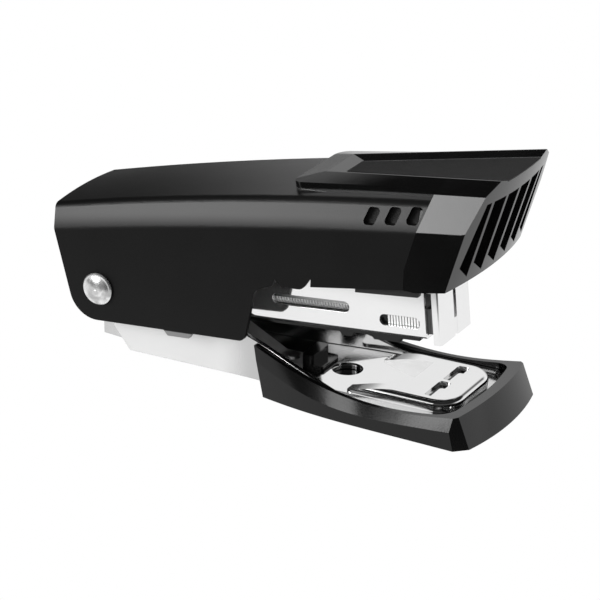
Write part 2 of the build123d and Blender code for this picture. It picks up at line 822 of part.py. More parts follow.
with BuildPart() as magazine:
    extrude(to_extrude=magazine_section.sketch, amount=MAGAZINE_FRONT - MAGAZINE_REAR + 2 * MARGIN)
    extrude(to_extrude=magazine_profile.sketch, amount=REACH, both=True, mode=Mode.INTERSECT)
    extrude(to_extrude=rear_slot, amount=REACH, both=True, mode=Mode.SUBTRACT)
    extrude(to_extrude=front_slot, amount=REACH, both=True, mode=Mode.SUBTRACT)
    add(pin_bore(PIN_RADIUS + PIN_FIT, 2 * REACH), mode=Mode.SUBTRACT)
save(magazine, "magazine")

# Keel: moulded carrier under the channel, with two small tabs and a groove along it
with BuildSketch(HEAD) as keel_profile:
    Polygon(
        (KEEL_REAR, MAGAZINE_FLOOR),
        (KEEL_FRONT, MAGAZINE_FLOOR),
        (KEEL_FRONT - KEEL_TAB_SLOPE, KEEL_LOW),
        (KEEL_TAB_FRONT + KEEL_TAB_LONG + KEEL_TAB_SLOPE, KEEL_LOW),
        (KEEL_TAB_FRONT + KEEL_TAB_LONG, KEEL_LOW - KEEL_TAB),
        (KEEL_TAB_FRONT, KEEL_LOW - KEEL_TAB),
        (KEEL_TAB_FRONT - KEEL_TAB_SLOPE, KEEL_LOW),
        (KEEL_TAB_REAR + KEEL_TAB_SHORT + KEEL_TAB_SLOPE, KEEL_LOW),
        (KEEL_TAB_REAR + KEEL_TAB_SHORT, KEEL_LOW - KEEL_TAB),
        (KEEL_TAB_REAR, KEEL_LOW - KEEL_TAB),
        (KEEL_TAB_REAR - KEEL_TAB_SLOPE, KEEL_LOW),
        (KEEL_REAR + KEEL_HEEL, KEEL_LOW),
        align=None,
    )

with BuildPart() as magazine_keel:
    extrude(to_extrude=keel_profile.sketch, amount=KEEL_HALF, both=True)
    with BuildSketch(across(KEEL_REAR - 1)):
        with Locations((0, KEEL_LOW + KEEL_GROOVE)):
            Rectangle(
                2 * (KEEL_HALF - KEEL_RAIL), 2 * (KEEL_GROOVE + KEEL_TAB), align=(Align.CENTER, Align.MAX)
            )
    extrude(amount=KEEL_FRONT - KEEL_REAR + 2, mode=Mode.SUBTRACT)
save(magazine_keel, "magazine_keel")

# Front guide: a folded face plate with a slit and short flanges, held by two returns outside
return_inner = MAGAZINE_HALF + RETURN_GAP
return_outer = return_inner + GUIDE_PLATE
return_spots = [
    (side * (return_inner + return_outer) / 2, (RETURN_LOW + MAGAZINE_FRONT_TOP) / 2) for side in (-1, 1)
]
with BuildPart() as front_guide:
    with BuildSketch(level(GUIDE_LOW)):
        with BuildLine():
            FilletPolyline(
                (GUIDE_FACE - GUIDE_FLANGE, -MAGAZINE_HALF),
                (GUIDE_FACE, -MAGAZINE_HALF),
                (GUIDE_FACE, MAGAZINE_HALF),
                (GUIDE_FACE - GUIDE_FLANGE, MAGAZINE_HALF),
                (GUIDE_FACE - GUIDE_FLANGE, inner_half),
                (GUIDE_FACE - GUIDE_PLATE, inner_half),
                (GUIDE_FACE - GUIDE_PLATE, -inner_half),
                (GUIDE_FACE - GUIDE_FLANGE, -inner_half),
                radius=(0, GUIDE_BEND, GUIDE_BEND, 0, 0, 0, 0, 0),
                close=True,
            )
        make_face()
    extrude(amount=MAGAZINE_FRONT_TOP - GUIDE_LOW)
    with BuildSketch(across(RETURN_REAR)):
        with Locations(*return_spots):
            Rectangle(GUIDE_PLATE, MAGAZINE_FRONT_TOP - RETURN_LOW)
    extrude(amount=GUIDE_FACE - GUIDE_PLATE - RETURN_REAR)
    with BuildSketch(across(GUIDE_FACE - GUIDE_FLANGE)):
        with Locations(*[(side * MAGAZINE_HALF, spot) for side, (edge, spot) in zip((-1, 1), return_spots)]):
            Rectangle(2 * (RETURN_GAP + GUIDE_PLATE), MAGAZINE_FRONT_TOP - RETURN_LOW)
    extrude(amount=GUIDE_FLANGE - GUIDE_PLATE)
    with BuildSketch(across(GUIDE_FACE - GUIDE_PLATE)):
        with Locations((0, (GUIDE_LOW + GUIDE_SLIT_TOP) / 2)):
            Rectangle(GUIDE_SLIT, GUIDE_SLIT_TOP - GUIDE_LOW)
    extrude(amount=GUIDE_PLATE, mode=Mode.SUBTRACT)
save(front_guide, "front_guide")

# Staple rail: inverted channel that the strip rides on, open on top for the pusher's tongue
with BuildSketch(across(RAIL_REAR)) as rail_section:
    with Locations((0, (floor_top + RAIL_TOP) / 2)):
        Rectangle(2 * RAIL_HALF, RAIL_TOP - floor_top)
    with Locations((0, (floor_top + RAIL_TOP - RAIL_WALL) / 2)):
        Rectangle(2 * (RAIL_HALF - RAIL_WALL), RAIL_TOP - RAIL_WALL - floor_top, mode=Mode.SUBTRACT)

rail_window = wall_slot(
    REAR_SLOT_START - RAIL_WINDOW_SPARE,
    REAR_SLOT_END + RAIL_WINDOW_SPARE,
    RAIL_TOP - RAIL_WALL - RAIL_WINDOW_HEIGHT / 2,
    RAIL_WINDOW_HEIGHT,
)

with BuildPart() as staple_rail:
    extrude(to_extrude=rail_section.sketch, amount=RAIL_FRONT - RAIL_REAR)
    with BuildSketch(level(RAIL_TOP)):
        with Locations(((RAIL_REAR + STRIP_REAR) / 2, 0)):
            Rectangle(STRIP_REAR - RAIL_REAR, 2 * RAIL_SLOT_HALF)
    extrude(amount=-2 * RAIL_WALL, mode=Mode.SUBTRACT)
    extrude(to_extrude=rail_window, amount=REACH, both=True, mode=Mode.SUBTRACT)
    with BuildSketch(across(RAIL_FRONT - RAIL_WEB)):
        with Locations((0, (floor_top + RAIL_TOP) / 2)):
            Rectangle(2 * RAIL_HALF, RAIL_TOP - floor_top)
    extrude(amount=RAIL_WEB)
    with BuildSketch(across(RAIL_FRONT - RAIL_WEB - 1)):
        with Locations((0, ROD_LEVEL)):
            Circle(ROD_RADIUS)
    extrude(amount=RAIL_WEB + 2, mode=Mode.SUBTRACT)
save(staple_rail, "staple_rail")

# Rear anchor and the rod that guides pusher and spring
with BuildPart() as rod_anchor:
    with BuildSketch(across(ANCHOR_REAR)):
        with Locations((0, floor_top)):
            Rectangle(2 * inner_half, RAIL_TOP - floor_top, align=(Align.CENTER, Align.MIN))
        with Locations((0, ROD_LEVEL)):
            Circle(ROD_RADIUS, mode=Mode.SUBTRACT)
    extrude(amount=ANCHOR_LENGTH)
save(rod_anchor, "rod_anchor")

with BuildPart() as pusher_rod:
    with BuildSketch(across(ANCHOR_REAR)):
        with Locations((0, ROD_LEVEL)):
            Circle(ROD_RADIUS)
    extrude(amount=RAIL_FRONT - ANCHOR_REAR)
save(pusher_rod, "pusher_rod")

# Staple strip: staples glued side by side, with a score all round between each pair
strip_inner = RAIL_HALF + STRIP_FIT
strip_outer = strip_inner + STAPLE_WIRE
strip_low = floor_top + STRIP_FIT
strip_top = RAIL_TOP + STRIP_FIT + STAPLE_WIRE
with BuildPart() as staple_strip:
    with BuildSketch(across(STRIP_REAR)):
        with Locations((0, strip_low)):
            Rectangle(2 * strip_outer, strip_top - strip_low, align=(Align.CENTER, Align.MIN))
            Rectangle(
                2 * strip_inner,
                strip_top - STAPLE_WIRE - strip_low,
                align=(Align.CENTER, Align.MIN),
                mode=Mode.SUBTRACT,
            )
    extrude(amount=STRIP_FRONT - STRIP_REAR)
    pitch = (STRIP_FRONT - STRIP_REAR) / STAPLE_COUNT
    for index in range(1, STAPLE_COUNT):
        with BuildSketch(across(STRIP_REAR + pitch * index - STAPLE_GROOVE / 2)):
            with Locations((0, strip_low)):
                Rectangle(2 * strip_outer, strip_top - strip_low, align=(Align.CENTER, Align.MIN))
                Rectangle(
                    2 * (strip_outer - STAPLE_GROOVE),
                    strip_top - STAPLE_GROOVE - strip_low,
                    align=(Align.CENTER, Align.MIN),
                    mode=Mode.SUBTRACT,
                )
        extrude(amount=STAPLE_GROOVE, mode=Mode.SUBTRACT)
save(staple_strip, "staple_strip")

# Pusher: a saddle over the rail, with a tongue down onto the rod
pusher_front = STRIP_REAR - PUSHER_GAP
pusher_rear = pusher_front - PUSHER_LENGTH
saddle_inner = RAIL_HALF + PUSHER_FIT
saddle_outer = inner_half - PUSHER_FIT
saddle_low = floor_top + PUSHER_FIT
saddle_under = RAIL_TOP + PUSHER_FIT
with BuildPart() as pusher:
    with BuildSketch(across(pusher_rear)):
        with Locations((0, saddle_low)):
            Rectangle(2 * saddle_outer, PUSHER_TOP - saddle_low, align=(Align.CENTER, Align.MIN))
            Rectangle(
                2 * saddle_inner,
                saddle_under - saddle_low,
                align=(Align.CENTER, Align.MIN),
                mode=Mode.SUBTRACT,
            )
            Rectangle(2 * TONGUE_HALF, saddle_under - saddle_low, align=(Align.CENTER, Align.MIN))
    extrude(amount=PUSHER_LENGTH)
    with BuildSketch(across(pusher_rear - 1)):
        with Locations((0, ROD_LEVEL)):
            Circle(ROD_RADIUS + ROD_FIT)
    extrude(amount=PUSHER_LENGTH + 2, mode=Mode.SUBTRACT)
save(pusher, "pusher")

# Pusher spring: one unbroken wire on biarcs, two arcs to each half turn
spring_start = ANCHOR_REAR + ANCHOR_LENGTH + SPRING_END_GAP + SPRING_WIRE / 2
spring_end = pusher_rear - SPRING_END_GAP - SPRING_WIRE / 2
coil_radius = (SPRING_OUTER - SPRING_WIRE) / 2
coil_pitch = (spring_end - spring_start) / SPRING_TURNS


def coil_point(turn):
    """Point and direction of the wire after so many turns."""
    angle = turn * 360
    c, s = cos(radians(angle)), sin(radians(angle))
    middle = PIN + FORWARD * (spring_start + coil_pitch * turn) + UPWARD * ROD_LEVEL
    spot = middle + Vector(0, 1, 0) * (coil_radius * c) + UPWARD * (coil_radius * s)
    rise = coil_pitch / radians(360)
    heading = FORWARD * rise + (UPWARD * c - Vector(0, 1, 0) * s) * coil_radius
    return spot, heading.normalized()


def biarc_joint(start, start_dir, end, end_dir):
    """Middle point of the biarc between two directed points, and its direction there."""
    chord = end - start
    a = 2 * (1 - start_dir.dot(end_dir))
    b = 2 * chord.dot(start_dir + end_dir)
    reach = (-b + sqrt(b * b + 4 * a * chord.dot(chord))) / (2 * a)
    first = start + start_dir * reach
    second = end - end_dir * reach
    return (first + second) * 0.5, (second - first).normalized()


with BuildPart() as pusher_spring:
    with BuildLine() as coil:
        for half_turn in range(2 * SPRING_TURNS):
            start, start_dir = coil_point(half_turn / 2)
            end, end_dir = coil_point((half_turn + 1) / 2)
            joint, joint_dir = biarc_joint(start, start_dir, end, end_dir)
            TangentArc(start, joint, tangent=start_dir)
            TangentArc(joint, end, tangent=joint_dir)
    start, start_dir = coil_point(0)
    with BuildSketch(Plane(origin=start, z_dir=start_dir)):
        RegularPolygon(SPRING_WIRE / 2, WIRE_SIDES, major_radius=False)
    sweep(path=coil.wires()[0])
save(pusher_spring, "pusher_spring")

# Least gap of the wire to itself, measured between points a whole turn apart and more
wire_points = [coil_point(step / 24)[0] for step in range(24 * 4)]
least = min(
    (a - b).length
    for i, a in enumerate(wire_points)
    for b in wire_points[i + 12 :]
)
print("spring: least gap to itself", round(least - SPRING_WIRE, 2), "mm")

# Pivot pin with domed heads, and the bushes and spacers that centre magazine and cover
cover_side = half_at(0) + COVER_FLARE * PIN_HEAD_RADIUS
head_seat = cover_side + PIN_HEAD_GAP
rim_seat = head_seat + PIN_RIM_THICK
dome_radius = (PIN_DOME_RADIUS**2 + PIN_DOME_RISE**2) / (2 * PIN_DOME_RISE)
PIN_PLANE = Plane(origin=PIN, x_dir=(1, 0, 0), z_dir=(0, 0, -1))
with BuildPart() as pivot_pin:
    with BuildSketch(PIN_PLANE) as pin_half:
        with BuildLine():
            Polyline(
                (0, 0),
                (PIN_RADIUS, 0),
                (PIN_RADIUS, head_seat),
                (PIN_HEAD_RADIUS, head_seat),
                (PIN_HEAD_RADIUS, rim_seat - PIN_RIM_BEVEL),
                (PIN_HEAD_RADIUS - PIN_RIM_BEVEL, rim_seat),
                (PIN_DOME_RADIUS, rim_seat),
            )
            RadiusArc((PIN_DOME_RADIUS, rim_seat), (0, rim_seat + PIN_DOME_RISE), -dome_radius)
            Line((0, rim_seat + PIN_DOME_RISE), (0, 0))
        make_face()
        mirror(about=Plane.XZ)
    revolve(axis=Axis(PIN, (0, 1, 0)))
save(pivot_pin, "pivot_pin")


def pin_sleeve(start, end, radius):
    """Sleeve on the pin between two distances along +Y."""
    with BuildPart() as sleeve:
        with BuildSketch(Plane(origin=PIN + Vector(0, start, 0), z_dir=(0, 1, 0))):
            Circle(radius)
            Circle(PIN_RADIUS, mode=Mode.SUBTRACT)
        extrude(amount=end - start)
    return sleeve


wall_inner = BASE_HALF - BASE_SHEET
cover_inner = half_at(0) - STEEL - COVER_FLARE * SLEEVE_RADIUS
for side, name in ((1, "left"), (-1, "right")):
    bush_ends = sorted((side * (MAGAZINE_HALF + SIDE_GAP), side * wall_inner))
    spacer_ends = sorted((side * BASE_HALF, side * (cover_inner - SIDE_GAP)))
    save(pin_sleeve(*bush_ends, SLEEVE_RADIUS), f"pin_bush_{name}")
    save(pin_sleeve(*spacer_ends, SLEEVE_RADIUS), f"pin_spacer_{name}")

# Base frame: a folded tray whose walls run straight from the ears and flare into the shoe
base_floor = BASE_BOTTOM + BASE_SHEET


def base_plan(z, grow):
    """Plan of the base frame at z, grown outwards: straight, an S of two arcs, straight, round."""
    steep = (FLARE_MID_HALF - BASE_HALF) / (FLARE_MID - FLARE_START)
    wide = FLARE_MID_HALF + (FLARE_END - FLARE_MID) * steep
    with BuildSketch(plan(z)) as outline:
        with BuildLine():
            Line((-REACH, 0), (-REACH, BASE_HALF))
            Line((-REACH, BASE_HALF), (FLARE_START, BASE_HALF))
            outward = TangentArc((FLARE_START, BASE_HALF), (FLARE_MID, FLARE_MID_HALF), tangent=(1, 0))
            TangentArc((FLARE_MID, FLARE_MID_HALF), (FLARE_END, wide), tangent=outward % 1)
            Line((FLARE_END, wide), (BASE_CORNER, wide))
            TangentArc((BASE_CORNER, wide), (BASE_FRONT_SIDE, BASE_FRONT_HALF), tangent=(1, 0))
            crown = (BASE_FRONT_HALF**2 + (BASE_FRONT - BASE_FRONT_SIDE) ** 2) / (
                2 * (BASE_FRONT - BASE_FRONT_SIDE)
            )
            RadiusArc((BASE_FRONT_SIDE, BASE_FRONT_HALF), (BASE_FRONT, 0), crown)
            Line((BASE_FRONT, 0), (-REACH, 0))
        make_face()
        mirror(about=Plane.XZ)
        if grow:
            offset(amount=grow, mode=Mode.REPLACE)
    return outline.sketch


with BuildSketch(SIDE) as base_profile:
    with BuildLine():
        ear_front = EAR_REAR + 2 * (PIN_RADIUS + EAR_RIM)
        FilletPolyline(
            (TAIL_FOOT, BASE_BOTTOM - 1),
            (EAR_REAR, PIN_Z - 2),
            (EAR_REAR + 3, PIN_Z + PIN_RADIUS + EAR_RIM),
            (ear_front, PIN_Z + PIN_RADIUS + EAR_RIM),
            (WALL_MID, WALL_MID_TOP),
            (WALL_LOW, LIP_TOP),
            (BASE_FRONT + 5, LIP_TOP),
            (BASE_FRONT + 5, BASE_BOTTOM - 1),
            radius=(1.5, 4.0, 3.0, 4.0, 20.0, 20.0, 0, 0),
            close=True,
        )
    make_face()


def tail_plan(z, inset):
    """Plan of the narrow tail between the ears, drawn in by the inset."""
    with BuildSketch(plan(z)) as outline:
        Polygon(
            (TAIL_TIP + inset, -TAIL_TIP_HALF + inset),
            (TAIL_ROOT, -TAIL_ROOT_HALF + inset),
            (TAIL_ROOT, TAIL_ROOT_HALF - inset),
            (TAIL_TIP + inset, TAIL_TIP_HALF - inset),
            align=None,
        )
    return outline.sketch


with BuildPart() as base_frame:
    extrude(to_extrude=base_plan(BASE_BOTTOM, 0), amount=PIN_Z + REACH)
    extrude(to_extrude=base_plan(base_floor, -BASE_SHEET), amount=PIN_Z + REACH, mode=Mode.SUBTRACT)
    extrude(to_extrude=base_profile.sketch, amount=REACH, both=True, mode=Mode.INTERSECT)
    extrude(to_extrude=tail_plan(BASE_BOTTOM, 0), amount=TAIL_HEIGHT)
    extrude(to_extrude=tail_plan(base_floor, BASE_SHEET), amount=TAIL_HEIGHT, mode=Mode.SUBTRACT)
    with BuildSketch(plan(base_floor)):
        with Locations((HOLE_B, 0)):
            Circle(HOLE_RADIUS)
        with Locations((BASE_RIVET_B, 0)):
            Circle(RIVET_RADIUS)
    extrude(amount=-2 * BASE_SHEET, mode=Mode.SUBTRACT)
    add(pin_bore(PIN_RADIUS, 2 * REACH), mode=Mode.SUBTRACT)
save(base_frame, "base_frame")

# Anvil: a seated plate whose raised pad runs back in two horns beside a ramped recess, with the
# clinching grooves under the driver when the head is pressed home
pressed = radians(REST_TILT - MAGAZINE_PRESS)
groove_b = (DRIVER_U + DRIVER_THICK / 2) * cos(pressed) - MAGAZINE_FLOOR * sin(pressed)
plate_top = base_floor + ANVIL_PLATE
horn_full = HORN_REAR + HORN_LENGTH


def anvil_outline(rear, half, rear_round):
    """Plan of plate or pad, with a broad round front."""
    with BuildSketch(plan(base_floor)) as outline:
        with BuildLine():
            FilletPolyline(
                (rear, -half),
                (PAD_FRONT, -half),
                (PAD_FRONT, half),
                (rear, half),
                radius=(rear_round, PAD_ROUND, PAD_ROUND, rear_round),
                close=True,
            )
        make_face()
    return outline.sketch


with BuildSketch(SIDE) as horn_slope:
    with BuildLine():
        Line((HORN_REAR - 1, plate_top + HORN_TIP), (HORN_REAR, plate_top + HORN_TIP))
        Spline(
            (HORN_REAR, plate_top + HORN_TIP),
            (horn_full, ANVIL_TOP),
            tangents=((1, 0.25), (1, 0)),
        )
        Polyline(
            (horn_full, ANVIL_TOP),
            (horn_full, ANVIL_TOP + 1),
            (HORN_REAR - 1, ANVIL_TOP + 1),
            (HORN_REAR - 1, plate_top + HORN_TIP),
        )
    make_face()

with BuildSketch(SIDE) as recess:
    Polygon(
        (HORN_REAR - 1, plate_top),
        (RECESS_FRONT, plate_top),
        (RECESS_FRONT + RECESS_RAMP, ANVIL_TOP),
        (RECESS_FRONT + RECESS_RAMP, ANVIL_TOP + 1),
        (HORN_REAR - 1, ANVIL_TOP + 1),
        align=None,
    )

with BuildPart() as anvil_plate:
    extrude(to_extrude=anvil_outline(HORN_REAR, PAD_HALF, ANVIL_CORNER), amount=ANVIL_TOP - base_floor)
    fillet(anvil_plate.faces().sort_by(Axis.Z)[-1].edges(), PAD_BLEND)
    extrude(to_extrude=horn_slope.sketch, amount=REACH, both=True, mode=Mode.SUBTRACT)
    extrude(to_extrude=recess.sketch, amount=RECESS_HALF, both=True, mode=Mode.SUBTRACT)
    extrude(to_extrude=anvil_outline(ANVIL_REAR, ANVIL_PLATE_HALF, ANVIL_CORNER), amount=ANVIL_PLATE)
    with BuildSketch(plan(ANVIL_TOP)):
        spread = (GROOVE_LENGTH + GROOVE_SPLIT) / 2
        with Locations((groove_b, -spread), (groove_b, spread)):
            RectangleRounded(GROOVE_WIDTH, GROOVE_LENGTH, GROOVE_WIDTH / 4)
    extrude(amount=-GROOVE_DEPTH, taper=GROOVE_SLOPE, mode=Mode.SUBTRACT)
    with BuildSketch(plan(plate_top)):
        with Locations((HOLE_B, 0)):
            Circle(HOLE_RADIUS)
    extrude(amount=-2 * ANVIL_PLATE, mode=Mode.SUBTRACT)
save(anvil_plate, "anvil_plate")

# Spring block and the leaf that lifts the magazine, riveted to the floor
with BuildPart() as spring_block:
    with BuildSketch(SIDE):
        Polygon(
            (BLOCK_REAR, base_floor),
            (BLOCK_FRONT, base_floor),
            (BLOCK_FRONT, BLOCK_STEP_TOP),
            (BLOCK_STEP, BLOCK_STEP_TOP),
            (BLOCK_STEP, BLOCK_TOP),
            (BLOCK_REAR, BLOCK_TOP),
            align=None,
        )
    extrude(amount=BLOCK_HALF, both=True)
    fillet(spring_block.edges().filter_by(Axis.Z), 0.8)
save(spring_block, "spring_block")

keel_under = PIN_Z + BASE_LEAF_TIP * tan(TILT) + (KEEL_LOW - BASE_LEAF_GAP) / cos(TILT)
leaf_seat = BASE_RIVET_B - 3.5
with BuildPart() as base_spring:
    with BuildSketch(SIDE):
        with BuildLine():
            FilletPolyline(
                (BLOCK_REAR - SIDE_GAP, base_floor),
                (BLOCK_REAR - SIDE_GAP, base_floor + LEAF),
                (leaf_seat + 0.4, base_floor + LEAF),
                (BASE_LEAF_TIP, keel_under),
                (BASE_LEAF_TIP - 4, keel_under - 1.2),
                (BASE_LEAF_TIP - 3.9, keel_under - 1.2 - LEAF),
                (BASE_LEAF_TIP, keel_under - LEAF),
                (leaf_seat, base_floor),
                radius=(0, 0, 1.0, 1.5, 0, 0, 1.0, 1.5),
                close=True,
            )
        make_face()
    extrude(amount=BASE_LEAF_HALF, both=True)
    with BuildSketch(plan(base_floor)):
        with Locations((BASE_RIVET_B, 0)):
            Circle(RIVET_RADIUS)
    extrude(amount=2 * LEAF, mode=Mode.SUBTRACT)
save(base_spring, "base_spring")

with BuildPart() as base_rivet:
    with BuildSketch(plan(BASE_BOTTOM)):
        with Locations((BASE_RIVET_B, 0)):
            Circle(RIVET_RADIUS)
    extrude(amount=BASE_SHEET + LEAF)
    with BuildSketch(plan(base_floor + LEAF)):
        with Locations((BASE_RIVET_B, 0)):
            Circle(RIVET_HEAD)
    extrude(amount=RIVET_HEAD_THICK, taper=20)
save(base_rivet, "base_rivet")

# Shoe: lofted along its length, so that its side crease and top edge sweep as one piece
with BuildPart() as shoe_form:
    for b, foot_out, crease_out, crease_z, rim_out, rim_z in SHOE_STATIONS:
        with BuildSketch(Plane(origin=(PIN_X + b, 0, 0), x_dir=(0, 1, 0), z_dir=(1, 0, 0))):
            Polygon(
                (-BASE_HALF - foot_out, 0),
                (BASE_HALF + foot_out, 0),
                (BASE_HALF + crease_out, crease_z),
                (BASE_HALF + rim_out, rim_z),
                (-BASE_HALF - rim_out, rim_z),
                (-BASE_HALF - crease_out, crease_z),
                align=None,
            )
    loft()

shoe_lean = Vector(-SHOE_RAKE, 0, 1).normalized()
NOSE_CUT = Plane(origin=(PIN_X + SHOE_FRONT, 0, 0), x_dir=(0, 1, 0), z_dir=shoe_lean)
bulge = SHOE_BULGE_RADIUS - sqrt(SHOE_BULGE_RADIUS**2 - SHOE_CORNER_HALF**2)
with BuildSketch(NOSE_CUT) as shoe_front:
    with BuildLine():
        ThreePointArc((-SHOE_CORNER_HALF, bulge), (0, 0), (SHOE_CORNER_HALF, bulge))
        Polyline(
            (SHOE_CORNER_HALF, bulge),
            (SHOE_CORNER_HALF + SHOE_CORNER_CUT, bulge + SHOE_CORNER_CUT),
            (SHOE_CORNER_HALF + SHOE_CORNER_CUT, REACH),
            (-SHOE_CORNER_HALF - SHOE_CORNER_CUT, REACH),
            (-SHOE_CORNER_HALF - SHOE_CORNER_CUT, bulge + SHOE_CORNER_CUT),
            (-SHOE_CORNER_HALF, bulge),
        )
    make_face()

with BuildSketch(SIDE) as shoe_rear:
    Polygon(
        (SHOE_REAR, 0),
        (SHOE_REAR - SHOE_REAR_RAKE * REACH, REACH),
        (SHOE_FRONT + REACH, REACH),
        (SHOE_FRONT + REACH, -1),
        (SHOE_REAR + SHOE_REAR_RAKE, -1),
        align=None,
    )

with BuildPart() as base_shoe:
    add(shoe_form.part)
    extrude(to_extrude=shoe_front.sketch, amount=REACH, both=True, mode=Mode.INTERSECT)
    extrude(to_extrude=shoe_rear.sketch, amount=REACH, both=True, mode=Mode.INTERSECT)
    extrude(to_extrude=base_plan(BASE_BOTTOM, SHOE_FIT), amount=REACH, mode=Mode.SUBTRACT)
    with BuildSketch(plan(0)):
        with Locations(((SHOE_PAD_REAR + SHOE_PAD_FRONT) / 2, 0)):
            RectangleRounded(SHOE_PAD_FRONT - SHOE_PAD_REAR, 2 * SHOE_PAD_HALF, 4)
    extrude(amount=PAD_RECESS, mode=Mode.SUBTRACT)
save(base_shoe, "base_shoe")

with BuildPart() as shoe_pad:
    with BuildSketch(plan(0)):
        with Locations(((SHOE_PAD_REAR + SHOE_PAD_FRONT) / 2, 0)):
            RectangleRounded(SHOE_PAD_FRONT - SHOE_PAD_REAR, 2 * SHOE_PAD_HALF, 4)
    extrude(amount=PAD_RECESS)
save(shoe_pad, "shoe_pad")

with BuildPart() as rear_foot:
    with BuildSketch(plan(0)):
        with Locations(((FOOT_REAR + FOOT_FRONT) / 2, 0)):
            RectangleRounded(FOOT_FRONT - FOOT_REAR, 2 * FOOT_HALF, 3)
    extrude(amount=BASE_BOTTOM)
save(rear_foot, "rear_foot")
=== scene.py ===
# %% [markdown]
# # A desk stapler, dressed from its CAD frame
# The imported CAD model comes in as a fixed frame: every solid is a Blender object in metres, already in place.

# %% Load the frame
import json
from math import cos, pi, radians, sin

import bmesh
import bpy
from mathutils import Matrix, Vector


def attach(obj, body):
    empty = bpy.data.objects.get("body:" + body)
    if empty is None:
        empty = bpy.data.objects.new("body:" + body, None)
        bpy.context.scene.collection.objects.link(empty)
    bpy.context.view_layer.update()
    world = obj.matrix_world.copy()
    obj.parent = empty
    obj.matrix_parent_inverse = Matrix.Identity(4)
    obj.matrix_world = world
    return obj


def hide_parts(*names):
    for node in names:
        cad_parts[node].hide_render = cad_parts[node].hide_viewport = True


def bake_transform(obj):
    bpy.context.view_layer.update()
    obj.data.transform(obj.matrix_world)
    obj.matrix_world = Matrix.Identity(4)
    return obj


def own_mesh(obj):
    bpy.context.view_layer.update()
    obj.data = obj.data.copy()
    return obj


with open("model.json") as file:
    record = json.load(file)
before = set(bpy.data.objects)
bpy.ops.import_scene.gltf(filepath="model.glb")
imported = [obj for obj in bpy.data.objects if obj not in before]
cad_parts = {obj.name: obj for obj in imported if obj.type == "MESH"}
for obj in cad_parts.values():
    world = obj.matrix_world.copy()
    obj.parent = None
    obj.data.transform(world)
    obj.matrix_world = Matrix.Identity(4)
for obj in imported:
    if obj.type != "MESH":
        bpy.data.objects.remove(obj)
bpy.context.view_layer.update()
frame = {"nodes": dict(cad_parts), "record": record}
MM = 0.001

# %% [markdown]
# The cover and the magazine hang on one pin and stand five degrees nose-up.
# Most pieces are easiest to place in that tilted frame, so we work it out once from the joint in the record:
# u runs forward from the pin, v runs up, and Y goes across.

# %% The tilted frame of the head
joints = {joint["name"]: joint for joint in frame["record"]["behaviour"]["joints"]}
PIN = Vector(joints["magazine_press"]["pos_m"])
FORWARD = Vector(joints["pusher_slide"]["axis"]).normalized()
UPWARD = Vector((-FORWARD.z, 0, FORWARD.x))


def head(u, y, v):
    """Point of the tilted frame, given in millimetres."""
    return PIN + (FORWARD * u + UPWARD * v + Vector((0, y, 0))) * MM


print("pin at", [round(c / MM, 2) for c in PIN], "mm")

# %% [markdown]
# The camera comes first, because every later choice is judged through it.
# It is a long lens from the near side, 29 degrees round towards the nose and 23 degrees up.

# %% Camera
CAMERA_AZIMUTH = radians(29.06)
CAMERA_HEIGHT = radians(22.74)
CAMERA_DISTANCE = 641.8 * MM
CAMERA_TARGET = Vector((1.02, 0, 18.86)) * MM
SENSOR = 36.0
LENS = 169.0

camera_data = bpy.data.cameras.new("camera")
camera_data.sensor_width = SENSOR
camera_data.lens = LENS
camera_data.clip_start = 0.01
camera = bpy.data.objects.new("camera", camera_data)
away = Vector((
    sin(CAMERA_AZIMUTH) * cos(CAMERA_HEIGHT),
    -cos(CAMERA_AZIMUTH) * cos(CAMERA_HEIGHT),
    sin(CAMERA_HEIGHT),
))
camera.location = CAMERA_TARGET + away * CAMERA_DISTANCE
camera.rotation_euler = (radians(90) - CAMERA_HEIGHT, 0, CAMERA_AZIMUTH)
bpy.context.collection.objects.link(camera)
bpy.context.scene.camera = camera
print("camera", round(CAMERA_DISTANCE / MM), "mm away")

# %% [markdown]
# Shader maths reads best as ordinary expressions. `Wire` wraps one output socket: adding or multiplying two
# wires adds a Math node, `mix` blends two colours, and `node` makes any other node from its type, settings
# and inputs.

# %% Shader expressions


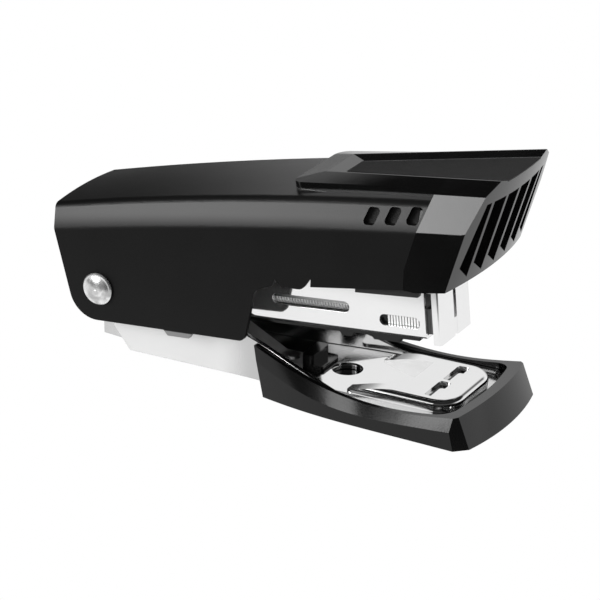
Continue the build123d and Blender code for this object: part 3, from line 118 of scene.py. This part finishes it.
class Wire:
    """One socket of a node tree, with arithmetic."""

    def __init__(self, tree, socket):
        self.tree = tree
        self.socket = socket

    def node(self, kind, settings=None, out=0, **inputs):
        """Add a node, set it up, link or fill its inputs, and wrap one of its outputs."""
        made = self.tree.nodes.new(kind)
        for name, value in (settings or {}).items():
            setattr(made, name, value)
        for name, value in inputs.items():
            key = int(name[1:]) if name[0] == "i" and name[1:].isdigit() else name.replace("_", " ")
            if isinstance(value, Wire):
                self.tree.links.new(value.socket, made.inputs[key])
            else:
                made.inputs[key].default_value = value
        return Wire(self.tree, made.outputs[out])

    def math(self, operation, other=None, swap=False):
        """Add a Math node with this wire as its first input, or as its second if swapped."""
        first, second = (other, self) if swap else (self, other)
        inputs = {"i0": first}
        if second is not None:
            inputs["i1"] = second
        return self.node("ShaderNodeMath", {"operation": operation}, **inputs)

    def __add__(self, other):
        return self.math("ADD", other)

    __radd__ = __add__

    def __mul__(self, other):
        return self.math("MULTIPLY", other)

    __rmul__ = __mul__

    def __sub__(self, other):
        return self.math("SUBTRACT", other)

    def __rsub__(self, other):
        return self.math("SUBTRACT", other, swap=True)

    def __truediv__(self, other):
        return self.math("DIVIDE", other)

    def __abs__(self):
        return self.math("ABSOLUTE")

    def clamp(self):
        return self.node("ShaderNodeClamp", Value=self)

    def step(self, low, high):
        """Smooth step from 0 at low to 1 at high."""
        return self.node(
            "ShaderNodeMapRange",
            {"interpolation_type": "SMOOTHSTEP"},
            Value=self,
            From_Min=low,
            From_Max=high,
        )

    def axes(self):
        """The three coordinates of a position or a direction."""
        first = self.node("ShaderNodeSeparateXYZ", Vector=self)
        return [Wire(self.tree, socket) for socket in first.socket.node.outputs]

    def mix(self, dark, light):
        """Blend two colours, with this wire as the factor."""
        return self.node("ShaderNodeMix", {"data_type": "RGBA"}, 2, i0=self, i6=dark, i7=light)


def grey(value):
    return (value, value, value, 1)


print("shader helper ready")

# %% [markdown]
# A material starts from one Principled shader. Values that are the same all over go straight onto its
# sockets, and only what varies is linked. `place` gives the point on the object, which stays with the piece
# when it moves. Each finish is kept under the slot that the CAD record gives to its pieces.

# %% Material starter


def start_material(name, **constants):
    """New material: its Principled node, and a wire that carries the object position."""
    material = bpy.data.materials.new(name)
    material.use_nodes = True
    shader = material.node_tree.nodes["Principled BSDF"]
    for key, value in constants.items():
        shader.inputs[key.replace("_", " ")].default_value = value
    coordinates = material.node_tree.nodes.new("ShaderNodeTexCoord")
    place = Wire(material.node_tree, coordinates.outputs["Object"])
    return material, shader, place


def feed(shader, socket, wire):
    wire.tree.links.new(wire.socket, shader.inputs[socket])


def noise(place, scale, detail=4.0, roughness=0.55):
    return place.node("ShaderNodeTexNoise", Vector=place, Scale=scale, Detail=detail, Roughness=roughness)


def stretched(place, x, y, z):
    """Object position scaled along the axes, for grain that runs one way."""
    return place.node("ShaderNodeMapping", Vector=place, Scale=(x, y, z))


def facing(place):
    """The three coordinates of the surface normal, in the piece's own frame."""
    return Wire(place.tree, place.socket.node.outputs["Normal"]).axes()


def head_axes(place):
    """u, Y and v of the tilted frame in millimetres, as wires."""
    from_pin = place.node("ShaderNodeVectorMath", {"operation": "SUBTRACT"}, i0=place, i1=PIN)
    along, across, up = (
        place.node("ShaderNodeVectorMath", {"operation": "DOT_PRODUCT"}, 1, i0=from_pin, i1=axis)
        for axis in (FORWARD, Vector((0, 1, 0)), UPWARD)
    )
    return along / MM, across / MM, up / MM


def bump(height, distance, strength):
    return height.node("ShaderNodeBump", Height=height, Strength=strength, Distance=distance)


finishes = {}


def add_finish(slot, material):
    """Keep a material for the pieces of one slot."""
    finishes[slot] = material
    print(slot, "is", material.name, "with", len(material.node_tree.nodes), "nodes")


print("material starter ready")

# %% [markdown]
# The cover is powder-coated steel: nearly black, satin, with a fine even pebble in the coat.
# A small noise lifts the normal by a few hundredths of a millimetre, and a slow one varies the sheen.
# Hands polish the top and the folded shoulders, so the faces that look up carry a thin gloss over the satin.
# The little stop tab under each flank is coloured a plain mid grey, lighter than the coat.

# %% Satin black coat
# The shoulder's fold line and the stop tab, in mm of the tilted frame.
FOLD_MIDDLE, FOLD_RUN = 40.0, 60.0
FOLD_LEVEL, FOLD_RISE, FOLD_SAG = 19.3, 5.5, 1.28
BAND_HEIGHT, BAND_TAPER = 5.8, 0.1
TAB_TOP, TAB_MIDDLE, TAB_HALF = -8.05, 20.9, 3.7


def satin_coat():
    material, shader, place = start_material(
        "satin_black_coat", Specular_IOR_Level=0.15, Coat_Roughness=0.34, Coat_IOR=1.5
    )
    pebble = noise(place, 2600, 2)
    sheen = noise(place, 60, 3)
    u, _, v = head_axes(place)
    run = (u - FOLD_MIDDLE) / FOLD_RUN
    shoulder = FOLD_LEVEL + FOLD_RISE * run - FOLD_SAG * run * run
    climb = (v - shoulder) / (BAND_HEIGHT - BAND_TAPER * run)
    upward = facing(place)[2].step(0.6, 0.9)
    polished = climb.step(-0.2, 0.5) * (1 - upward)
    crown = upward * 1.1 * u.step(0.0, 80.0)
    tab = (TAB_TOP - v).step(0.0, 0.3) * (1 - abs(u - TAB_MIDDLE).step(TAB_HALF, TAB_HALF + 0.4))
    coat = sheen.mix(grey(0.002), grey(0.004))
    feed(shader, "Base Color", tab.mix(coat, grey(0.16)))
    feed(shader, "Roughness", 0.5 - 0.1 * polished + 0.08 * sheen)
    feed(shader, "Coat Weight", 0.55 * polished + crown)
    feed(shader, "Normal", bump(pebble, 0.05 * MM, 0.5))
    return material


add_finish("cover_paint", satin_coat())

# %% [markdown]
# The nose cap is moulded in a harder, glossier plastic, with faint flow waviness that shows only in
# reflections. The tray floor on top is spark-eroded to a fine matt grain, and so are the faces that hide
# inside the cover. Both places are found from the position in the tilted frame.

# %% Gloss black plastic
# The pad on top, the tray in it and the cover that laps over the cap, in mm of the tilted frame.
PAD_REAR, PAD_LEVEL, PAD_SLOPE = 56.7, 30.2, 0.075
TRAY_REAR, TRAY_HALF, TRAY_FLARE = 61.0, 3.8, 0.112
SEAM, LAP_LEVEL = 84.0, 27.2
LAP_HALF, LAP_FLARE = 16.4, 0.029


def gloss_plastic():
    material, shader, place = start_material("gloss_black_plastic", IOR=1.5)
    haze = noise(place, 90, 5)
    grain = noise(place, 3200, 2, 0.7)
    u, across, v = head_axes(place)
    depth = PAD_LEVEL + PAD_SLOPE * (u - PAD_REAR) - v
    half = TRAY_HALF + TRAY_FLARE * (u - TRAY_REAR)
    on_floor = depth.step(0.7, 0.8) * (1 - depth.step(1.1, 1.3))
    in_tray = on_floor * u.step(TRAY_REAR - 1.0, TRAY_REAR) * (1 - (abs(across) - half).step(-0.2, 0.1))
    behind_seam = 1 - u.step(SEAM, SEAM + 0.4)
    under_crown = 1 - v.step(LAP_LEVEL, LAP_LEVEL + 0.3)
    within_flanks = (LAP_HALF + LAP_FLARE * u - abs(across)).step(0.5, 0.7)
    matt = (in_tray + behind_seam * under_crown * within_flanks).clamp()
    polished_tone = haze.mix(grey(0.001), grey(0.003))
    matt_tone = grain.mix(grey(0.001), grey(0.008))
    feed(shader, "Base Color", matt.mix(polished_tone, matt_tone))
    feed(shader, "Roughness", 0.1 + 0.08 * haze + 0.5 * matt)
    feed(shader, "Normal", bump(grain * matt + 0.02 * haze, 0.22 * MM, 0.9))
    return material


add_finish("cap_plastic", gloss_plastic())

# %% [markdown]
# Magazine, front guide, base and anvil are nickel-chromed sheet. Rolled sheet is never a perfect mirror:
# fine draw lines run along it, and the sheen clouds slowly. The outer flanks of the base's tail are left a
# milky satin, and the rest of the base is polished. Small steel parts and springs are plain drawn steel.

# %% Chromed sheet and plain steel
POLISH_START, POLISH_END = -14 * MM, -4 * MM  # along X, where the tail's flanks turn to polished chrome
FLANK = 10 * MM  # about how far the flanks stand from the middle plane


def draw_lines(place):
    return noise(stretched(place, 120, 2500, 2500), 1, 3)


def chromed_sheet(name, tone, gloss, mirror=1.0):
    """Chrome with drawn lines; a lower mirror share makes it milkier."""
    material, shader, place = start_material(name, Metallic=mirror)
    lines = draw_lines(place)
    cloud = noise(place, 70, 3)
    feed(shader, "Base Color", cloud.mix(grey(tone - 0.05), grey(tone)))
    feed(shader, "Roughness", gloss + 0.04 * lines + 0.03 * cloud)
    feed(shader, "Normal", bump(lines, 0.01 * MM, 0.06))
    return material


def base_chrome():
    """The base: milky satin on the outer flanks of the tail, polished chrome elsewhere."""
    material, shader, place = start_material("base_chrome")
    lines = draw_lines(place)
    cloud = noise(place, 70, 3)
    along, across, _ = place.axes()
    outward = (facing(place)[1] * across / FLANK).step(0.5, 0.9)
    polished = (along.step(POLISH_START, POLISH_END) + 1 - outward).clamp()
    feed(shader, "Base Color", cloud.mix(grey(0.58), grey(0.64)))
    feed(shader, "Metallic", 0.25 + 0.75 * polished)
    feed(shader, "Roughness", 0.2 - 0.12 * polished + 0.06 * lines + 0.05 * cloud)
    feed(shader, "Normal", bump(lines, 0.01 * MM, 0.12))
    return material


def plain_steel(name, tone, gloss, mirror):
    material, shader, place = start_material(name, Metallic=mirror)
    grain = noise(stretched(place, 900, 900, 200), 1, 4)
    feed(shader, "Base Color", grain.mix(grey(tone * 0.82), grey(tone)))
    feed(shader, "Roughness", gloss + 0.12 * grain)
    feed(shader, "Normal", bump(grain, 0.02 * MM, 0.2))
    return material


add_finish("chrome", chromed_sheet("satin_nickel", 0.97, 0.02, 0.96))
add_finish("steel", plain_steel("plain_steel", 0.5, 0.3, 1.0))
add_finish("spring_steel", plain_steel("spring_steel", 0.5, 0.35, 0.8))

# %% [markdown]
# Shoe, keel, block and pusher are a plain semi-gloss black moulding with a soft spark-eroded grain.
# The feet are matt rubber with a coarser grain.

# %% Moulded plastic and rubber


def moulded_plastic():
    material, shader, place = start_material("semi_gloss_black", Specular_IOR_Level=0.36)
    grain = noise(place, 1900, 3)
    cloud = noise(place, 80, 3)
    feed(shader, "Base Color", cloud.mix(grey(0.0016), grey(0.0024)))
    feed(shader, "Roughness", 0.09 + 0.05 * cloud)
    feed(shader, "Normal", bump(grain, 0.02 * MM, 0.2))
    return material


def foot_rubber():
    material, shader, place = start_material("foot_rubber", Specular_IOR_Level=0.3)
    grain = noise(place, 1200, 4)
    feed(shader, "Base Color", grain.mix(grey(0.018), grey(0.035)))
    feed(shader, "Roughness", 0.75 + 0.15 * grain)
    feed(shader, "Normal", bump(grain, 0.08 * MM, 0.5))
    return material


add_finish("black_plastic", moulded_plastic())
add_finish("rubber", foot_rubber())

# %% [markdown]
# The pin's head is turned and polished by hand: a domed mirror with a mottled, swirled sheen.
# Staples are drawn wire glued side by side, and the glue fills the valleys with grey: a narrow dark line at
# each pitch, found from the position along the strip. The strip's front end is dull and dark all over; the
# dark there is painted shade, where the strip sits in the shadowed gap between the magazine and the front
# guide.

# %% Turned pin and staple wire
# The last number is where the strip's front end starts to be painted dark: painted shade in the gap ahead of
# the magazine.
STRIP_REAR, STAPLE_PITCH, STRIP_PAINTED_SHADE = 69.6, 0.7125, 79.0  # along u in mm


def turned_pin():
    material, shader, place = start_material("polished_pin", Metallic=0.9)
    swirl = place.node("ShaderNodeTexNoise", Vector=place, Scale=190.0, Detail=2.0, Distortion=0.8)
    fine = noise(place, 1600, 3)
    feed(shader, "Base Color", swirl.step(0.38, 0.62).mix(grey(0.5), grey(0.97)))
    feed(shader, "Roughness", 0.16 + 0.14 * fine)
    feed(shader, "Normal", bump(fine, 0.02 * MM, 0.2))
    return material


def staple_wire():
    material, shader, place = start_material("staple_wire", Metallic=0.5)
    u, _, _ = head_axes(place)
    beat = abs(((u - STRIP_REAR) / STAPLE_PITCH).math("FRACT") - 0.5)
    # Dark glue lines at each pitch, plus painted shade over the strip's front end.
    glue_lines_and_shade = (beat.step(0.3, 0.42) + u.step(STRIP_PAINTED_SHADE, STRIP_PAINTED_SHADE + 0.4)).clamp()
    fine = noise(place, 900, 3)
    feed(shader, "Base Color", glue_lines_and_shade.mix(fine.mix(grey(0.86), grey(0.96)), grey(0.12)))
    feed(shader, "Roughness", 0.34 + 0.1 * fine + 0.2 * glue_lines_and_shade)
    feed(shader, "Normal", bump(1 - glue_lines_and_shade, 0.1 * MM, 0.5))
    return material


add_finish("pin_steel", turned_pin())
add_finish("staple_wire", staple_wire())

# %% [markdown]
# Real edges are never razor sharp, and it is their thin highlights that make a part look made.
# Four pieces that show this are copied. In the frame a mesh is split where one CAD face meets the next, so
# those open edges tell a true edge from the facets of a curve. True edges get a small bevel that suits the
# material, flat faces keep flat shading by weighted normals, and the copy replaces the CAD node. All other
# pieces keep their CAD meshes, whose shading is exact.

# %% Round the edges
NARROW = 1.0  # mean width in mm below which a face is split before the bevel
WELD = 0.002 * MM
TANGENT, COPLANAR, EDGE_TURN = radians(5), radians(0.4), radians(14)


def body_of(node):
    return next(name for name, nodes in frame["record"]["behaviour"]["bodies"].items() if node in nodes)


def mean_width(face):
    """Width in mm of a strip of the same area and outline length."""
    return 2 * face.calc_area() / face.calc_perimeter() / MM


def soften(node, width, slivers):
    """Copy a CAD node and bevel its true edges; edges that end at a face slimmer than slivers stay sharp."""
    data = frame["nodes"][node].data.copy()
    data.attributes.remove(data.attributes["custom_normal"])
    mesh = bmesh.new()
    mesh.from_mesh(data)
    for edge in mesh.edges:
        edge.smooth = not edge.is_boundary
    bmesh.ops.remove_doubles(mesh, verts=mesh.verts, dist=WELD)
    for edge in mesh.edges:
        if edge.calc_face_angle(0) < TANGENT:
            edge.smooth = True
    bmesh.ops.dissolve_limit(
        mesh, angle_limit=COPLANAR, verts=mesh.verts, edges=mesh.edges, delimit={"SHARP"}
    )
    slim = {corner for face in mesh.faces if mean_width(face) < slivers for corner in face.verts}
    narrow = [face for face in mesh.faces if len(face.verts) > 4 and mean_width(face) < NARROW]
    bmesh.ops.triangulate(mesh, faces=narrow)
    weight = mesh.edges.layers.float.new("bevel_weight_edge")
    for edge in mesh.edges:
        true_edge = not edge.smooth and edge.calc_face_angle(0) > EDGE_TURN
        edge[weight] = float(true_edge and slim.isdisjoint(edge.verts))
    for face in mesh.faces:
        face.smooth = True
    mesh.to_mesh(data)
    mesh.free()
    piece = bpy.data.objects.new(node + "_finished", data)
    bpy.context.collection.objects.link(piece)
    bevel = piece.modifiers.new("edges", "BEVEL")
    bevel.limit_method = "WEIGHT"
    bevel.width = width * MM
    bevel.segments = 2
    bevel.use_clamp_overlap = False
    shading = piece.modifiers.new("shading", "WEIGHTED_NORMAL")
    shading.keep_sharp = True
    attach(piece, body_of(node))
    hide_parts(node)
    return piece


slots = {part["node"]: part["material_slot"] for part in frame["record"]["subparts"]}
# Width of the bevel, and of the slimmest face that a bevelled edge may end at, both in mm.
edge_widths = {
    "magazine": (0.06, 0.0),
    "magazine_keel": (0.1, 0.0),
    "spring_block": (0.2, 0.5),
    "base_frame": (0.2, 0.0),
}
finished = {}
for node, item in frame["nodes"].items():
    if node in edge_widths:
        item = soften(node, *edge_widths[node])
    finished[node] = item
    item.data.materials.clear()
    item.data.materials.append(finishes[slots[node]])
finished["base_frame"].data.materials[0] = base_chrome()
finished["anvil_plate"].data.materials[0] = chromed_sheet("anvil_chrome", 0.78, 0.05)
print(len(edge_widths), "pieces softened,", len(finished), "pieces finished")

# %% [markdown]
# Two leaf springs give way in use: the base leaf is riveted to the base and carries the magazine on its tip.
# Here both are copied in place of their CAD solids, and the base leaf's copy is baked into the world frame.
# The lift leaf is drawn slightly narrower than its solid, so that it can dip between the magazine's walls when
# the cover is pressed down.

# %% Copy the leaf springs
LIFT_LEAF_SHARE = 0.92  # of the solid's width


def leaf_copy(node, across=1.0):
    """Copy a leaf spring in place of its CAD node, with its width scaled."""
    data = frame["nodes"][node].data.copy()
    for corner in data.vertices:
        corner.co.y *= across
    piece = bpy.data.objects.new(node + "_leaf", data)
    bpy.context.collection.objects.link(piece)
    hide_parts(node)
    return piece


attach(leaf_copy("lift_spring", LIFT_LEAF_SHARE), body_of("lift_spring"))
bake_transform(leaf_copy("base_spring"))
print("2 leaf springs ready")

# %% [markdown]
# The pusher spring is a fine coil of round wire. Its CAD solid has fewer, four-sided turns, so we wind a
# finer pitch here: points on a helix, a curve with a round bevel, and then a mesh, because only a mesh can be
# squashed.

# %% Wind the pusher spring
COIL_START, COIL_END, COIL_LEVEL = 7.4, 61.15, -3.6  # along u, and the axis's height v, in mm
COIL_TURNS, COIL_STEPS = 74, 14  # turns, and points on each
COIL_OUTER, COIL_WIRE = 2.6, 0.58  # diameters in mm
coil = bpy.data.curves.new("coil", "CURVE")
coil.dimensions = "3D"
coil.bevel_depth = COIL_WIRE / 2 * MM
coil.bevel_resolution = 1
coil.use_fill_caps = True
line = coil.splines.new("POLY")
count = COIL_TURNS * COIL_STEPS + 1
line.points.add(count - 1)
coil_radius = (COIL_OUTER - COIL_WIRE) / 2
for index, point in enumerate(line.points):
    turn = 2 * pi * index / COIL_STEPS
    along = COIL_START + (COIL_END - COIL_START) * index / (count - 1)
    spot = head(along, coil_radius * cos(turn), COIL_LEVEL + coil_radius * sin(turn))
    point.co = (*spot, 1)
wound = bpy.data.objects.new("coil", coil)
bpy.context.collection.objects.link(wound)
graph = bpy.context.evaluated_depsgraph_get()
wire_mesh = bpy.data.meshes.new_from_object(wound.evaluated_get(graph))
spring = bpy.data.objects.new("pusher_spring_wound", wire_mesh)
bpy.data.objects.remove(wound)
bpy.context.collection.objects.link(spring)
spring.data.shade_smooth()
spring.data.materials.clear()
# The coil gets a near-white, barely metallic copy of the plain steel: painted light, so it reads bright deep
# inside the shadowed slots.
spring.data.materials.append(plain_steel("coil_steel_painted_light", 1.0, 0.4, 0.05))
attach(spring, body_of("pusher_spring"))
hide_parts("pusher_spring")
travel = -joints["pusher_slide"]["range_m"][0] / MM
tuple(head(COIL_START, 0, COIL_LEVEL))
1 - travel / (COIL_END - COIL_START)
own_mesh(spring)
print("spring of", COIL_TURNS, "turns,", len(spring.data.vertices), "points")

# %% [markdown]
# The studio is a white sweep. Floor and world are plain white to the camera, as behind a cut-out product
# shot, and both throw an even light on the part. What the metal and the black coats mirror matters more than
# that light, so reflections see a real room: a floor that is bright up to just in front of the stapler and
# dark nearer to the camera, a sweep that is bright at the far side, a dark ceiling and a dim camera side.

# %% Studio floor and world
FLOOR = 3.0
UNDER = -0.05 * MM  # a little under the feet, so that no two faces coincide
FLOOR_DARK, FLOOR_BRIGHT = -90 * MM, -60 * MM  # along Y, where the mirrored floor turns from dark to bright
AMBIENT = 0.8
floor_mesh = bpy.data.meshes.new("floor")
floor_mesh.from_pydata(
    [(-FLOOR, -FLOOR, UNDER), (FLOOR, -FLOOR, UNDER), (FLOOR, FLOOR, UNDER), (-FLOOR, FLOOR, UNDER)],
    [],
    [(0, 1, 2, 3)],
)
floor = bpy.data.objects.new("floor", floor_mesh)
bpy.context.collection.objects.link(floor)


def ray_kinds(tree):
    """Two wires: 1 for camera rays, and 1 for camera rays and reflections together."""
    path = tree.nodes.new("ShaderNodeLightPath")
    camera_ray, glossy = (Wire(tree, path.outputs[name]) for name in ("Is Camera Ray", "Is Glossy Ray"))
    return camera_ray, (camera_ray + glossy).clamp()


floor_material, floor_shader, floor_place = start_material(
    "floor_white", Base_Color=grey(0.8), Roughness=0.8, Specular_IOR_Level=0.1
)
tree = floor_material.node_tree
camera_ray, seen = ray_kinds(tree)
across_floor = floor_place.axes()[1]
mirrored_floor = 0.04 + 0.84 * across_floor.step(FLOOR_DARK, FLOOR_BRIGHT)
glow = tree.nodes.new("ShaderNodeEmission")
tree.links.new((mirrored_floor + camera_ray * (1 - mirrored_floor)).socket, glow.inputs["Strength"])
shade = tree.nodes.new("ShaderNodeMixShader")
tree.links.new(seen.socket, shade.inputs[0])
tree.links.new(floor_shader.outputs[0], shade.inputs[1])
tree.links.new(glow.outputs[0], shade.inputs[2])
tree.links.new(shade.outputs[0], tree.nodes["Material Output"].inputs["Surface"])
floor_mesh.materials.append(floor_material)

world = bpy.data.worlds.new("studio")
bpy.context.scene.world = world
world.use_nodes = True
tree = world.node_tree
sky = tree.nodes["Background"]
sky.inputs["Color"].default_value = grey(1.0)
camera_ray, seen = ray_kinds(tree)
# Directions are of unit length, so a rise of 0.44 is 26 degrees up.
direction = Wire(tree, tree.nodes.new("ShaderNodeTexCoord").outputs["Generated"])
toward_right, toward_back, rise = direction.axes()
far_side = toward_back.step(-0.3, 0.3)
below_ceiling = 1 - rise.step(0.44, 0.6)
horizon = 0.4 + 0.8 * toward_right.step(-0.3, 0.3)
sweep = (horizon + (1 - horizon) * rise.step(0.1, 0.34)) * toward_right.step(-0.67, -0.51)
room = 0.02 + below_ceiling * (far_side * sweep + (1 - far_side) * 0.05)
strength = AMBIENT + seen * (room + camera_ray * (1 - room) - AMBIENT)
tree.links.new(strength.socket, sky.inputs["Strength"])
print("floor and world ready")

# %% [markdown]
# Three softboxes stand at the camera's left, and they are seen in the part more than they light it. The
# large one draws the bright band along the folded shoulder and the cap's facet, the low strip gives the
# shoe's bevel a highlight, and the weak card brightens what the anvil and the base mirror. The fourth lamp is
# a fill beside the camera that reaches into the magazine's slots, and it is kept out of the reflections.
# Lamps are set by the radiance that a mirror would see.

# %% Softboxes


def softbox(name, azimuth, height, distance, width, depth, radiance):
    """Area lamp aimed at the stapler."""
    lamp = bpy.data.lights.new(name, "AREA")
    lamp.shape = "RECTANGLE"
    lamp.size = width
    lamp.size_y = depth
    lamp.energy = radiance * pi * width * depth
    item = bpy.data.objects.new(name, lamp)
    turn, rise = radians(azimuth), radians(height)
    direction = Vector((sin(turn) * cos(rise), -cos(turn) * cos(rise), sin(rise)))
    item.location = direction * distance
    item.rotation_euler = direction.to_track_quat("Z", "Y").to_euler()
    item.visible_camera = False
    bpy.context.collection.objects.link(item)
    return item


softbox("left_box", -46, 20, 0.9, 0.48, 0.36, 7.8)
softbox("low_strip", -32, 8, 0.9, 0.28, 0.11, 6.0)
softbox("front_card", -17, 24, 0.9, 0.36, 0.24, 1.2)
fill = softbox("front_fill", 29, 21, 0.9, 0.26, 0.2, 18.0)
fill.visible_glossy = False
bpy.context.scene.view_settings.view_transform = "Standard"
print("studio ready")
